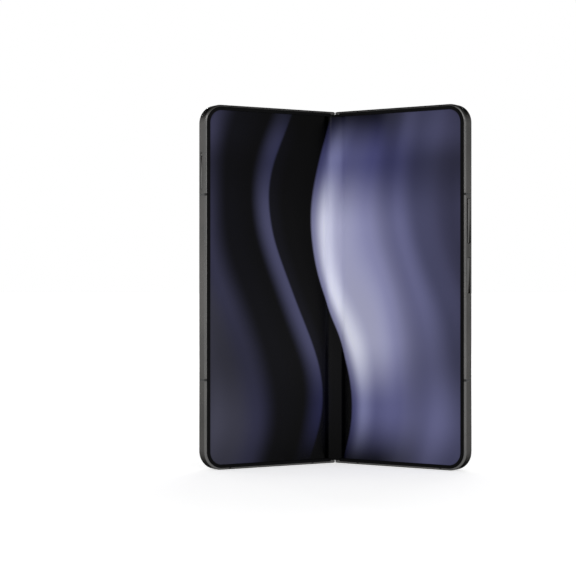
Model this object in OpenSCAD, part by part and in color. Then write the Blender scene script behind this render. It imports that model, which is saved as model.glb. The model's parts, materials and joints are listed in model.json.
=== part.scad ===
// Book-style foldable phone, part open and standing on its lower edges.
//
// Every half is drawn flat, in half coordinates: x runs outward from the fold line,
// y runs back from the front plane, z runs up the hinge.  on_camera_half() and
// on_cover_half() then turn it about its own hinge axis to the rest pose.

/* [Phone] */
// Height of the phone, along the hinge
phone_h = 154.9; // [148:0.1:165]
// Width of the phone when it is opened flat
open_w = 129.9; // [124:0.1:140]
// Thickness of one half
half_t = 6.1; // [5.9:0.1:7]
// Turn of each half from flat in the rest pose, in degrees
fold_angle = 32; // [0:1:60]
// Radius of the outer corners
corner_r = 8; // [6:0.5:10]
// Rounding of the edges of the side rail
edge_r = 0.9; // [0.5:0.1:1.2]
// Rounding of the corners beside the hinge
hinge_corner_r = 1.2; // [0.6:0.1:2]
// Width of the side rail, from its outer face inward
rail_w = 2.2; // [2:0.1:3]
// Thickness of the plate between the screen and the battery
mid_t = 0.8; // [0.6:0.1:1]
// Running gap between pieces that slide past each other
slip = 0.12; // [0.08:0.01:0.2]

/* [Screens] */
// Thickness of the folding screen
screen_t = 0.5; // [0.4:0.05:0.6]
// Thickness of the metal plate bonded behind each flat part of the folding screen
backing_t = 0.2; // [0.15:0.05:0.3]
// Distance of the folding screen from the outer face of the rail
screen_inset = 1.4; // [1.2:0.1:1.8]
// Half width of the stretch of screen that bends
bend_w = 6; // [5.5:0.1:7]
// Width of the raised rim around the folding screen
bezel_w = 1.5; // [1.2:0.1:2.2]
// Distance of the raised rim from the outer face of the rail
bezel_inset = 0.8; // [0.6:0.1:1]
// Height of the raised rim above the front plane
bezel_h = 0.4; // [0.2:0.05:0.5]
// Thickness of the glass on the back of each half
glass_t = 0.6; // [0.5:0.05:0.7]
// Distance of the back glass from the outer face of the rail
glass_inset = 1.1; // [1:0.1:1.6]
// Distance of the back glass from the fold line
glass_hinge_gap = 3; // [2.8:0.1:5]
// Thickness of the cover screen panel
panel_t = 0.7; // [0.5:0.1:0.9]

/* [Hinge] */
// Gap between the front planes of the halves when the phone is shut
shut_gap = 1.2; // [1.1:0.1:1.6]
// Depth of the hinge axes behind the front plane
axis_y = 1.2; // [1.1:0.05:1.3]
// Thickness of the rear lip that hides the spine
lip_t = 0.83; // [0.7:0.01:0.95]
// Thickness of the spine cover
spine_wall = 0.55; // [0.4:0.05:0.6]
// Thickness of the rail's end wall above and below the spine
end_wall = 1.25; // [1:0.05:1.6]
// Distance from the end of the spine to its nearer hinge module
module_inset = 8; // [6:0.5:12]
// Inner radius of the curved rail on each hinge arm
guide_r = 1.7; // [1.65:0.05:1.75]
// Thickness of the curved rail on each hinge arm
guide_t = 0.8; // [0.6:0.05:0.8]
// Length of each curved rail along the hinge
guide_len = 4.4; // [3.5:0.1:5]
// Face width of the gears
gear_len = 3; // [2:0.1:4]
// Tooth size of the gears, pitch diameter per tooth
tooth_module = 0.2; // [0.19:0.005:0.205]
// Teeth on the full circle of an arm gear
arm_teeth = 10; // [10:1:10]
// Teeth on an idler gear
idler_teeth = 11; // [11:1:11]
// Radius of the idler shafts
shaft_r = 0.45; // [0.35:0.05:0.5]
// Number of friction washers on each idler shaft
washer_count = 6; // [3:1:8]
// Thickness of a friction washer
washer_t = 0.5; // [0.3:0.05:0.7]
// Thickness of the plates that follow the bend of the screen
wing_t = 0.35; // [0.25:0.05:0.35]
// Length of the knuckles that each of those plates hangs on
knuckle_len = 5; // [3:0.5:8]
// Turn of a wing plate for each degree that its half folds
wing_ratio = 0.2778; // [0.25:0.005:0.3]
// Thickness of the flat cables that cross the hinge
flex_t = 0.15; // [0.1:0.01:0.2]
// Width of the flat cables that cross the hinge
flex_w = 16; // [10:1:20]

/* [Rear cameras] */
// Width of the camera island
island_w = 17.2; // [16:0.1:19]
// Height of the camera island above the back glass
island_h = 1.3; // [1:0.1:1.8]
// Distance of the island from the outer edge of the phone
island_inset_x = 7.2; // [5:0.1:9]
// Distance of the island from the top edge of the phone
island_inset_z = 6.1; // [5:0.1:9]
// Distance between lens centres
lens_pitch = 15.6; // [14.5:0.1:17]
// Outer radius of a lens ring
lens_ring_r = 6.3; // [5.8:0.1:6.6]
// Height of a lens ring above the island
lens_ring_h = 0.9; // [0.5:0.1:1.2]
// Wall of a lens ring
lens_ring_wall = 0.7; // [0.5:0.05:1]
// Thickness of a lens window
lens_window_t = 0.5; // [0.3:0.05:0.6]
// Radius of the flash window
flash_r = 2; // [1.5:0.1:2.5]

/* [Keys and tray] */
// Length of the volume key
volume_len = 18.8; // [16:0.1:20]
// Gap between an antenna band and the volume key
volume_gap = 1.3; // [1:0.1:3]
// Length of the power key
power_len = 15; // [12:0.1:16]
// Gap between the volume key and the power key
power_gap = 6; // [4:0.1:9]
// Width of the keys across the rail
key_w = 2.2; // [1.8:0.1:2.4]
// Height of the volume key above the rail
key_proud = 0.35; // [0.2:0.05:0.5]
// Travel of a key
key_travel = 0.25; // [0.2:0.05:0.3]
// Length of the card tray's face
tray_len = 15.4; // [14:0.1:17]
// Gap between the card tray and the antenna band below it
tray_gap = 1.9; // [1:0.1:4]
// Thickness of the card tray
tray_t = 1.2; // [1:0.05:1.4]
// Depth of the card tray behind the rail's outer face
tray_depth = 15; // [12:0.5:18]
// Width of the plastic antenna bands
band_w = 1; // [0.8:0.1:1.5]
// Distance of the side antenna bands from the phone's ends
band_inset = 38.3; // [32:0.1:43]
// Distance of the end antenna bands from the sides of a half
band_side = 12; // [10:0.1:14]

/* [Ports] */
// Width of the charging port's mouth
port_w = 8.4; // [8.3:0.05:8.6]
// Height of the charging port's mouth
port_h = 2.6; // [2.5:0.05:2.7]
// Depth of the charging port
port_depth = 6.6; // [6:0.1:7.5]
// Wall of the charging port's shell
port_wall = 0.25; // [0.2:0.05:0.35]
// Distance of the charging port from the fold line
port_x = 32; // [28:0.5:34]
// Distance between the charging port's middle and the first loudspeaker slot
speaker_gap = 7; // [6:0.1:9]
// Number of loudspeaker slots in each grille
slot_count = 6; // [3:1:6]
// Distance between the middles of two loudspeaker slots
slot_pitch = 2.4; // [2:0.1:2.6]
// Length of a loudspeaker slot
slot_len = 1.7; // [1.2:0.1:1.8]
// Width of a loudspeaker slot
slot_w = 0.9; // [0.7:0.1:1.2]
// Radius of a microphone hole
mic_r = 0.5; // [0.3:0.05:0.6]
// Distance of a microphone hole from the outer side of its half
mic_side = 21; // [18:0.5:24]

/* [Cover camera] */
// Distance of the cover camera from the top edge
cover_camera_drop = 7.5; // [6.5:0.1:8.5]
// Radius of the cover camera's barrel
cover_camera_r = 1.8; // [1.4:0.1:2]
// Side of the cover camera's square foot
cover_camera_w = 6; // [5:0.2:7]
// Length of the earpiece's slit in the cover glass
earpiece_slit = 9; // [7:0.5:12]
// Length of the earpiece's box
earpiece_w = 12; // [9:0.5:13]
// Width of the earpiece's box
earpiece_h = 7; // [5:0.5:7.5]

/* [Inside] */
// Thickness of a battery
battery_t = 3.4; // [3:0.1:3.4]
// Distance of a battery from the outer side of its half
battery_side = 6.6; // [6:0.1:10]
// Distance of a battery from the bottom edge
battery_foot = 14; // [12:0.5:20]
// Gap between a battery and the circuit board above it
battery_gap = 8; // [4:0.5:14]
// Outer radius of the charging coil
coil_r = 19; // [16:0.5:20]
// Inner radius of the charging coil
coil_bore = 9; // [7:0.5:11]
// Width of the loudspeaker's box
speaker_w = 15.5; // [13:0.5:16]
// Length of the haptic motor
motor_w = 16; // [12:0.5:18]
// Width of the haptic motor
motor_h = 6.8; // [5:0.2:7]
// Thickness of the haptic motor
motor_t = 3; // [2:0.1:3.2]
// Height of the main board, in the camera half
main_board_h = 52; // [46:0.5:56]
// Height of the board in the cover half
sub_board_h = 42; // [36:0.5:50]
// Distance of a board from the top edge and from the side of its half
board_inset = 4; // [3:0.1:6]
// Distance of a board's screws from its edges
spot_inset = 3.8; // [3:0.1:5]
// Thickness of the circuit boards
board_t = 0.7; // [0.5:0.1:1]
// Height of the shield cans on the boards
can_h = 1.3; // [1:0.1:1.6]
// Radius of a screw's thread
screw_r = 0.6; // [0.4:0.05:0.7]
// Radius of a screw's head
head_r = 1.1; // [0.9:0.05:1.2]

/* [Hidden] */
$fn = 48;

half_w = open_w / 2;
axis_x = shut_gap / 2 + axis_y;
joint_gap = 0.1;                                  // half of the seam between the shut lips
touch = 0.01;                                     // lets pieces of one solid overlap
backing_y = screen_t + backing_t;                 // front of the middle plate
floor_y = backing_y + mid_t;                      // back of the middle plate
glass_y = half_t - glass_t;                       // inner face of the back glass
knuckle_r = axis_x - joint_gap;

spine_depth = half_t - lip_t - slip;
spine_r = spine_depth - axis_y;
cavity_r = spine_r + slip;
spine_top = axis_y + 0.1;
hinge_wall_x = axis_x + cavity_r + 1;             // inner face of the wall beside the cavity
spine_z0 = end_wall + slip;
spine_z1 = phone_h - spine_z0;
cap_t = 1;

gear_r = tooth_module * arm_teeth / 2;
idler_r = tooth_module * idler_teeth / 2;
idler_x = idler_r;
idler_y = axis_y + sqrt(pow(gear_r + idler_r, 2) - pow(axis_x - idler_x, 2));
mesh_angle = atan2(idler_y - axis_y, idler_x - axis_x);

// Places along a hinge module, from its outer end.
guide_wall = 0.6;
camera_guide_z = 0;
cover_guide_z = camera_guide_z + guide_len + guide_wall;
gear_z = cover_guide_z + guide_len + 3 * guide_wall;
washer_z = gear_z + gear_len + guide_wall;
washer_gap = 0.2;
washer_pitch = washer_t + washer_gap;
nut_t = 1;
nut_z = washer_z + washer_count * washer_pitch;
module_len = nut_z + nut_t + 1.4;
foot_len = 3;                                     // of the bracket, past each end of the module
foot_screw_z = [-foot_len / 2, module_len + foot_len / 2];
arm_depth = floor_y + 1;
arm_base_x = hinge_wall_x + slip;
arm_base_w = 5.5;
arm_notch_y = arm_depth + 0.4;
arm_len = gear_z + gear_len + 4;

wing_pivot = [bend_w + 0.3, screen_t + 0.62];
wing_top = screen_t + 0.05;
wing_x = [3.4, axis_x + cavity_r - slip];
knuckle_pin_r = 0.33;
wing_knuckle_z = [for (i = [0:3]) phone_h / 2 + (i - 1.5) * 37.3];
support_w = 1.5;
support_y = [screen_t + 0.12, screen_t + 0.35];
flex_z = [phone_h / 2 - 26, phone_h / 2 + 26];

// A point of the flat half, turned to the rest pose.
function turned(p, a = fold_angle) = [
    axis_x + (p[0] - axis_x) * cos(a) + (p[1] - axis_y) * sin(a),
    axis_y - (p[0] - axis_x) * sin(a) + (p[1] - axis_y) * cos(a)
];
front_y = turned([half_w - bezel_inset, -bezel_h])[1];
back_y = max(turned([joint_gap, half_t])[1], spine_depth);
origin_y = -(front_y + back_y) / 2;

island_x = half_w - island_inset_x - island_w / 2;
island_z1 = phone_h - island_inset_z - island_w / 2;
lens_z = [for (i = [0:2]) island_z1 - i * lens_pitch];
band_z = phone_h - band_inset;                    // of the upper side bands
volume_z = band_z - band_w / 2 - volume_gap - volume_len / 2;
power_z = volume_z - volume_len / 2 - power_gap - power_len / 2;
tray_z = band_z + band_w / 2 + tray_gap + tray_len / 2;
side_y = half_t / 2;                              // middle of the side rail
tray_y = side_y + 0.4;
shoulder_n = 1.2;                                 // depth of the shoulder that stops the keys
key_flange = 0.6;
rock_r = 0.5;                                     // ridge that the volume key rocks on
rock_x = half_w - shoulder_n - rock_r - 0.05;
port_y = side_y;
inside_x0 = hinge_wall_x + 1;
board_y = floor_y + 0.3;
battery_x = inside_x0 + arm_base_w + 1;
battery_w = half_w - battery_side - battery_x;
battery_z = battery_foot;
board_x = battery_x;                              // edge of the boards beside the hinge
board_z1 = phone_h - board_inset;                 // top edge of the boards
camera_battery_h = board_z1 - main_board_h - battery_gap - battery_z;
cover_battery_h = board_z1 - sub_board_h - battery_gap - battery_z;
island_cut_x = island_x - island_w / 2 + 2.1;     // edge of the main board beside the rear cameras
cover_battery_t = min(battery_t, glass_y - panel_t - 0.2 - floor_y);
coil = [battery_x + battery_w / 2, battery_z + camera_battery_h / 2];
speaker_x = port_x + speaker_gap + 0.5;           // side of the loudspeaker beside the port
cover_camera_x = half_w / 2 + 2;
cover_camera_z = phone_h - cover_camera_drop;
earpiece_x = cover_camera_x + cover_camera_w / 2 + 2;
earpiece_z = phone_h - rail_w - 0.3 - earpiece_h;
sub_notch = [
    cover_camera_x - cover_camera_w / 2 - 1,
    min(cover_camera_z - cover_camera_w / 2, earpiece_z) - 1.5
];
rib_t = 0.6;
under_camera = [half_w - 32, phone_h - 10];
under_camera_r = 2.6;
under_camera_eye_r = 1.5;

// ---------------------------------------------------------------- placing

module on_spine() translate([0, origin_y, 0]) children();

module on_camera_half()
    on_spine()
        translate([axis_x, axis_y, 0]) rotate([0, 0, -fold_angle]) translate([-axis_x, -axis_y, 0])
            children();

module on_cover_half()
    on_spine() mirror([1, 0, 0])
        translate([axis_x, axis_y, 0]) rotate([0, 0, -fold_angle]) translate([-axis_x, -axis_y, 0])
            children();

// The children at the lower hinge module and, mirrored, at the upper one.
module at_lower_module() translate([0, 0, spine_z0 + module_inset]) children();
module at_upper_module() translate([0, 0, spine_z1 - module_inset]) mirror([0, 0, 1]) children();
module at_both_modules() {
    at_lower_module() children();
    at_upper_module() children();
}

// ---------------------------------------------------------------- shapes

// The range that reaches r to each side of c.
function around(c, r) = [c - r, c + r];

// A block from one corner to the other, given as ranges.
module block(x, y, z)
    translate([x[0], y[0], z[0]]) cube([x[1] - x[0], y[1] - y[0], z[1] - z[0]]);

// The children, drawn in the x-z plane, given thickness from y0 to y1.
module thick(y0, y1)
    translate([0, y1, 0]) rotate([90, 0, 0]) linear_extrude(y1 - y0) children();

// The children, drawn in the x-y plane, given height from z0 to z1.
module tall(z0, z1)
    translate([0, 0, z0]) linear_extrude(z1 - z0) children();

module disc(r, x, z, y0, y1)
    translate([x, y1, z]) rotate([90, 0, 0]) cylinder(r = r, h = y1 - y0);

// A slot with round ends.  len runs along the first axis.
module pill(len, w) {
    square([len - w, w], center = true);
    for (s = [-1, 1]) translate([s * (len - w) / 2, 0]) circle(w / 2);
}

// Outline of a half, inset from the rail's outer face, from x0 outward.
module outline(x0, inset) {
    r = corner_r - inset;
    x1 = half_w - inset;
    translate([x0, inset]) square([x1 - r - x0, phone_h - 2 * inset]);
    translate([x1 - r - touch, inset + r]) square([r + touch, phone_h - 2 * (inset + r)]);
    for (z = [inset + r, phone_h - inset - r]) translate([x1 - r, z]) circle(r);
}

// A part of a circle between two angles.
module sector(r, a0, a1) {
    steps = ceil((a1 - a0) / 30);
    intersection() {
        circle(r);
        polygon([
            [0, 0],
            for (i = [0:steps])
                let (a = a0 + (a1 - a0) * i / steps) 1.6 * r * [cos(a), sin(a)]
        ]);
    }
}

// A gear drawn round the origin, with a tooth on the +x side when phase is 0.
module gear_outline(teeth, phase) {
    r = tooth_module * teeth / 2;
    pitch = 360 / teeth;
    flank = [[r - 1.2 * tooth_module, 0.32], [r, 0.19], [r + 0.8 * tooth_module, 0.09]];
    polygon([
        for (i = [0:teeth - 1], p = [[0, -1], [1, -1], [2, -1], [2, 1], [1, 1], [0, 1]])
            let (a = phase + pitch * (i + p[1] * flank[p[0]][1]))
            flank[p[0]][0] * [cos(a), sin(a)]
    ]);
}

module screw(x, z, y_head, len) {
    difference() {
        disc(head_r, x, z, y_head, y_head + 0.5);
        for (a = [0, 90])
            translate([x, y_head + 0.5, z]) rotate([0, a, 0]) cube([1.2, 0.5, 0.3], center = true);
    }
    disc(screw_r, x, z, y_head - len, y_head + touch);
}

// ---------------------------------------------------------------- frames

// Section of the side rail: x is the depth behind its outer face, y its depth in the half.
module rail_section() {
    translate([edge_r, 0]) square([rail_w - edge_r, half_t]);
    translate([0, edge_r]) square([rail_w, half_t - 2 * edge_r]);
    for (y = [edge_r, half_t - edge_r]) translate([edge_r, y]) circle(edge_r);
}

module end_rail()
    translate([half_w - corner_r, 0, 0]) rotate([0, -90, 0])
        linear_extrude(half_w - corner_r) rail_section();

module corner_rail()
    translate([half_w - corner_r, 0, phone_h - corner_r]) rotate([90, 0, 0])
        rotate_extrude(angle = 90) translate([corner_r, 0]) rotate(180) rail_section();

module side_rail(z0, z1)
    translate([half_w, 0, z0]) linear_extrude(z1 - z0) mirror([1, 0]) rail_section();

module rail_ring() {
    side_rail(corner_r, phone_h - corner_r);
    end_rail();
    corner_rail();
    translate([0, 0, phone_h]) mirror([0, 0, 1]) {
        end_rail();
        corner_rail();
    }
}

// Slices of the rail where the antenna bands go.
side_bands = [band_inset, band_z];
end_bands = [half_w - band_side, band_side];

module band_slabs(grow) {
    for (z = side_bands)
        block([half_w - rail_w, half_w + 1], [-1, half_t + 1], around(z, band_w / 2 + grow));
    for (x = end_bands, z = [[-1, rail_w], [phone_h - rail_w, phone_h + 1]])
        block([x - band_w / 2 - grow, x + band_w / 2 + grow], [-1, half_t + 1], z);
}

// Space behind the front plane for the screen, its backing and the glass on the back.
module screen_recess()
    thick(-1, backing_y) outline(-1, screen_inset - slip / 2);

module glass_recess()
    thick(glass_y, half_t + 1) outline(glass_hinge_gap - slip / 2, glass_inset - slip / 2);

// The hollow beside the fold line that the spine turns in.
module spine_cavity() {
    tall(end_wall, phone_h - end_wall) {
        translate([axis_x, axis_y]) circle(cavity_r);
        translate([-1, -1]) square([axis_x + 1, axis_y + cavity_r + 1]);
        translate([-1, -1]) square([axis_x + cavity_r + 1, axis_y + 1]);
    }
}

// What the end walls lose so that the two halves pass each other.
module knuckle_relief()
    tall(-1, phone_h + 1)
        difference() {
            translate([-1, -1]) square([axis_x + 1, axis_y + 1]);
            translate([axis_x, axis_y]) circle(knuckle_r);
        }

// Slots for the flat cables, through the wall beside the cavity or the edges of the spine.
module flex_slots(y0)
    for (z = flex_z)
        block([-hinge_wall_x - 1, hinge_wall_x + 1], [y0, floor_y + 0.5], around(z, flex_w / 2 + 2 * slip));

// Pockets for the wing plate's knuckles, with bores for their pins.
module knuckle_pockets()
    for (z = wing_knuckle_z) {
        block([0, wing_pivot[0] + knuckle_pin_r + slip], [0, wing_pivot[1] + knuckle_pin_r + 0.05],
            around(z, knuckle_len / 2 + slip));
        translate([wing_pivot[0], wing_pivot[1], z - knuckle_len / 2 - 0.8])
            cylinder(r = 0.24, h = knuckle_len + 1.6);
    }

// Notches for the hinge arms through the wall beside the cavity.
module arm_notches(z0)
    at_both_modules() {
        for (z = [[z0, guide_len], [gear_z, gear_len]])
            block([axis_x + 2, hinge_wall_x + 1], [floor_y - 0.2, arm_notch_y],
                [z[0] - slip, z[0] + z[1] + slip]);
    }

module battery_tray(h)
    difference() {
        thick(floor_y - touch, floor_y + 1.6)
            translate([battery_x - rib_t, battery_z - rib_t]) square([battery_w + 2 * rib_t, h + 2 * rib_t]);
        thick(floor_y - 1, floor_y + 2) {
            translate([battery_x - slip, battery_z - slip]) square([battery_w + 2 * slip, h + 2 * slip]);
            translate([battery_x + battery_w / 3, 0]) square([battery_w / 3, phone_h]);
        }
    }

module board_posts(spots)
    for (p = spots) disc(head_r, p[0], p[1], floor_y - touch, board_y);

// Threaded holes for the board's screws, down into the middle plate.
module post_holes(spots)
    for (p = spots) disc(screw_r + 0.03, p[0], p[1], board_y - 0.45, board_y + 1);

// The frame of either half, without its ports and slots.
module plain_frame(battery_h, guide_z) {
    difference() {
        intersection() {
            union() {
                rail_ring();
                thick(backing_y, floor_y) outline(joint_gap, rail_w - 0.4);
                block([joint_gap, hinge_wall_x], [0, half_t], [end_wall - touch, phone_h - end_wall + touch]);
                battery_tray(battery_h);
            }
            thick(-1, half_t + 1) hinge_side_outline();
        }
        spine_cavity();
        knuckle_relief();
        screen_recess();
        glass_recess();
        arm_notches(guide_z);
        flex_slots(floor_y);
        knuckle_pockets();
        band_slabs(0);
    }
}

// The half's outline with its two small corners beside the hinge.
module hinge_side_outline() {
    r = hinge_corner_r;
    translate([joint_gap, r]) square([half_w, phone_h - 2 * r]);
    translate([joint_gap + r, -1]) square([half_w, phone_h + 2]);
    for (z = [r, phone_h - r]) translate([joint_gap + r, z]) circle(r);
}

module key_slot(z, len) {
    block([half_w - shoulder_n, half_w + 1], around(side_y, key_w / 2 + slip), around(z, len / 2 + slip));
    block([half_w - rail_w - 1, half_w - shoulder_n + touch],
        around(side_y, key_w / 2 + key_flange + slip), around(z, len / 2 + key_flange + slip));
}

// A row of slots through an end rail.  The first one is at x.
module grille(x)
    for (i = [0:slot_count - 1])
        translate([x + slot_pitch * i, side_y, -1])
            linear_extrude(rail_w + 2) rotate(90) pill(slot_len, slot_w);

module mic_hole(x)
    translate([x, side_y, -1]) cylinder(r = mic_r, h = rail_w + 2);

board_spots = [
    for (x = [board_x + spot_inset, island_cut_x - spot_inset],
         z = [board_z1 - spot_inset, board_z1 - main_board_h + spot_inset]) [x, z]
];
sub_board_spots = [
    [board_x + spot_inset, board_z1 - spot_inset],
    for (x = [board_x + spot_inset, half_w - board_inset - spot_inset])
        [x, board_z1 - sub_board_h + spot_inset]
];

module camera_half_frame()
    color("#55534f") on_camera_half()
        difference() {
            union() {
                plain_frame(camera_battery_h, camera_guide_z);
                board_posts(board_spots);
            }
            post_holes(board_spots);
            disc(under_camera_eye_r + slip, under_camera[0], under_camera[1], 0, floor_y + 1);
            key_slot(volume_z, volume_len);
            key_slot(power_z, power_len);
            translate([port_x, port_y, -1]) linear_extrude(rail_w + 2)
                pill(port_w + 2 * port_wall + slip, port_h + 2 * port_wall + slip);
            grille(port_x + speaker_gap);
            mic_hole(port_x - port_w);
            translate([0, 0, phone_h]) mirror([0, 0, 1]) mic_hole(half_w - mic_side);
        }

module cover_half_frame()
    color("#55534f") on_cover_half()
        difference() {
            union() {
                plain_frame(cover_battery_h, cover_guide_z);
                board_posts(sub_board_spots);
            }
            post_holes(sub_board_spots);
            block([half_w - rail_w - 1, half_w + 1], around(tray_y, tray_t / 2 + slip),
                around(tray_z, tray_len / 2 + slip));
            translate([0, 0, phone_h]) mirror([0, 0, 1]) {
                grille(cover_camera_x - 3.5 * slot_pitch);
                mic_hole(half_w - mic_side);
            }
            mic_hole(half_w - mic_side);
        }

module antenna_bands()
    intersection() {
        rail_ring();
        difference() {
            band_slabs(0);
            screen_recess();
            glass_recess();
        }
    }

module camera_half_antenna_bands() color("#403f3c") on_camera_half() antenna_bands();
module cover_half_antenna_bands() color("#403f3c") on_cover_half() antenna_bands();

// ---------------------------------------------------------------- folding screen

bezel_x = axis_x + 0.9;                           // from here out it clears the hinge when shut

module bezel()
    thick(-bezel_h, 0)
        difference() {
            outline(bezel_x, bezel_inset);
            outline(-1, bezel_inset + bezel_w);
        }

module camera_side_bezel() color("#0b0b0c") on_camera_half() bezel();
module cover_side_bezel() color("#0b0b0c") on_cover_half() bezel();

module flat_screen() thick(0, screen_t) outline(bend_w, screen_inset);
module camera_side_screen() color("#2c2c44") on_camera_half() flat_screen();
module cover_side_screen() color("#2c2c44") on_cover_half() flat_screen();

module backing() thick(screen_t, backing_y) outline(bend_w + 0.05, screen_inset);
module camera_side_backing()
    color("#8d8f92") on_camera_half()
        difference() {
            backing();
            disc(under_camera_eye_r + slip, under_camera[0], under_camera[1], 0, backing_y + 1);
        }
module cover_side_backing() color("#8d8f92") on_cover_half() backing();

// Share of its half's turn that a point of the bend takes, from 0 at the fold line to 1.
function bend_share(x) = let (t = min(x / bend_w, 1)) t * t * (3 - 2 * t);
function bent(x, y) =
    let (p = turned([abs(x), y], fold_angle * bend_share(abs(x)))) [x < 0 ? -p[0] : p[0], p[1]];
bend_steps = 16;

// Section of the bend between two depths, reaching the same distance to each side.
module bend_section(y0, y1, reach)
    polygon(concat(
        [for (i = [-bend_steps:bend_steps]) bent(reach * i / bend_steps, y0)],
        [for (i = [-bend_steps:bend_steps]) bent(-reach * i / bend_steps, y1)]
    ));

module screen_bend()
    color("#2c2c44") on_spine()
        tall(screen_inset, phone_h - screen_inset) bend_section(0, screen_t, bend_w);

module hinge_flex_cables()
    color("#b0762c") on_spine()
        for (z = flex_z)
            tall(z - flex_w / 2, z + flex_w / 2)
                bend_section(floor_y + 0.1, floor_y + 0.1 + flex_t, bend_w + 3);

// ---------------------------------------------------------------- hinge arms and spine

// Where an arm's beam runs, from its base over the edge of the spine to the guide.
module beam(inner)
    polygon(concat(
        [[arm_base_x, arm_depth], [arm_base_x, floor_y + 0.1], [5.3, floor_y + 0.2], [3.7, 2.35]],
        inner,
        [[4.2, 2.8], [5.3, arm_depth - 0.05]]
    ));

module curved_guide() {
    translate([axis_x, axis_y]) difference() {
        sector(guide_r + guide_t, 48, 185);
        circle(guide_r);
    }
    beam([
        [axis_x, axis_y] + (guide_r + 0.05) * [cos(48.5), sin(48.5)],
        [axis_x, axis_y] + (guide_r + guide_t - 0.05) * [cos(54), sin(54)]
    ]);
}

// Gear teeth on an arm, in mesh at the rest pose.  shift is a part of a tooth's pitch.
module arm_gear(shift) {
    translate([axis_x, axis_y]) {
        circle(0.5);
        intersection() {
            gear_outline(arm_teeth, mesh_angle + fold_angle + 360 * shift / arm_teeth);
            sector(2 * gear_r, 60, 203);
        }
    }
    beam([[axis_x + 0.45, axis_y + 0.05], [axis_x + 0.1, axis_y + 0.6], [axis_x + 0.9, axis_y + 1.75]]);
}

module hinge_arm(guide_z, shift) {
    tall(guide_z, guide_z + guide_len) curved_guide();
    tall(gear_z, gear_z + gear_len) arm_gear(shift);
    difference() {
        block([arm_base_x - touch, arm_base_x + arm_base_w], [floor_y, arm_depth], [guide_z, arm_len]);
        for (z = arm_screw_z(guide_z))
            disc(screw_r + 0.05, arm_base_x + arm_base_w / 2, z, floor_y - 1, arm_depth + 1);
    }
}

function arm_screw_z(guide_z) = [guide_z + 2.2, arm_len - 2.2];

module arm_screws(guide_z)
    at_both_modules()
        for (z = arm_screw_z(guide_z))
            screw(arm_base_x + arm_base_w / 2, z, arm_depth, arm_depth - floor_y);

module camera_side_hinge_arms()
    color("#9b9a96") on_camera_half() at_both_modules() hinge_arm(camera_guide_z, 0);
module cover_side_hinge_arms()
    color("#9b9a96") on_cover_half() at_both_modules() hinge_arm(cover_guide_z, 0.5);
module camera_arm_screws() color("#c9c9c9") on_camera_half() arm_screws(camera_guide_z);
module cover_arm_screws() color("#c9c9c9") on_cover_half() arm_screws(cover_guide_z);

// Outline of the spine grown by r round both hinge axes, below a given depth.
module spine_outline(r, top) {
    intersection() {
        union() {
            for (s = [-1, 1]) translate([s * axis_x, axis_y]) circle(r);
            translate([-axis_x, axis_y]) square([2 * axis_x, r]);
        }
        translate([-20, top]) square([40, 20]);
    }
}

module spine_cover()
    color("#4d4b48") on_spine()
        difference() {
            tall(spine_z0, spine_z1)
                difference() {
                    spine_outline(spine_r, spine_top);
                    spine_outline(spine_r - spine_wall, 0);
                }
            arm_notches(camera_guide_z);
            mirror([1, 0, 0]) arm_notches(cover_guide_z);
            flex_slots(0);
        }

module spine_end_caps()
    color("#2b2a29") on_spine()
        for (z = [spine_z0, spine_z1 - cap_t])
            tall(z, z + cap_t) spine_outline(spine_r - spine_wall, spine_top);

// Fixed block of a hinge module: holds the curved rails, the gears and the friction stacks.
module hinge_bracket()
    difference() {
        bracket_body();
        guide_groove(camera_guide_z);
        mirror([1, 0, 0]) guide_groove(cover_guide_z);
        tall(gear_z - slip, gear_z + gear_len + slip) {
            translate([-gear_room, 0]) square([2 * gear_room, 10]);
            translate([-10, 0]) square([20, arm_depth + 0.85]);
        }
        for (s = [-1, 1])
            translate([s * idler_x, idler_y, gear_z - 1.6])
                cylinder(r = shaft_r + 0.03, h = module_len - gear_z + 2);
        tall(washer_z - slip, nut_z + nut_t + slip)
            translate([-idler_x - idler_r, 0]) square([2 * (idler_x + idler_r), idler_y + idler_r]);
        for (z = foot_screw_z) {
            disc(screw_r + 0.05, 0, z, 0, 10);
            disc(head_r + 0.1, 0, z, 0, foot_head_y + 0.01);
        }
    }

bracket_r = spine_r - spine_wall - 0.05;
bracket_top = support_y[1];
gear_room = idler_x + idler_r + tooth_module;
foot_head_y = 2.2;                                // where the heads of the bracket screws rest

// The bracket before its grooves are cut.  It leaves room under the wing plates.
module bracket_body()
    tall(-foot_len, module_len + foot_len)
        difference() {
            spine_outline(bracket_r, bracket_top);
            for (s = [-1, 1])
                translate([s * (wing_x[0] - 0.3 + 10), 0]) square([20, 2 * 1.1], center = true);
        }

// Groove for one curved rail, and the space its arm sweeps through.
module guide_groove(z0) {
    play = 0.08;
    tall(z0 - slip, z0 + guide_len + slip)
        translate([axis_x, axis_y]) difference() {
            union() {
                sector(guide_r + guide_t + play, -90, 190);
                sector(2 * bracket_r, -90, 62);
            }
            circle(guide_r - play);
        }
}

module lower_hinge_bracket() color("#77767a") on_spine() at_lower_module() hinge_bracket();
module upper_hinge_bracket() color("#77767a") on_spine() at_upper_module() hinge_bracket();

module bracket_screws()
    color("#c9c9c9") on_spine() at_both_modules()
        for (z = foot_screw_z)
            translate([0, foot_head_y, z]) mirror([0, 1, 0])
                screw(0, 0, 0, spine_depth - spine_wall - foot_head_y);

module idler(phase) {
    tall(gear_z, gear_z + gear_len) gear_outline(idler_teeth, phase);
    tall(gear_z - 1.5, nut_z + nut_t + 0.8) circle(shaft_r);
}

// On the camera side a gap of the idler faces a tooth of the arm; on the cover side, half a
// pitch on, a tooth faces a gap.  That is what lets the two idlers mesh with each other.
idler_phase = mesh_angle + 180 + 180 / idler_teeth;

module camera_side_idlers()
    color("#b9b7ae") on_spine() at_both_modules()
        translate([idler_x, idler_y, 0]) idler(idler_phase);

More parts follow.
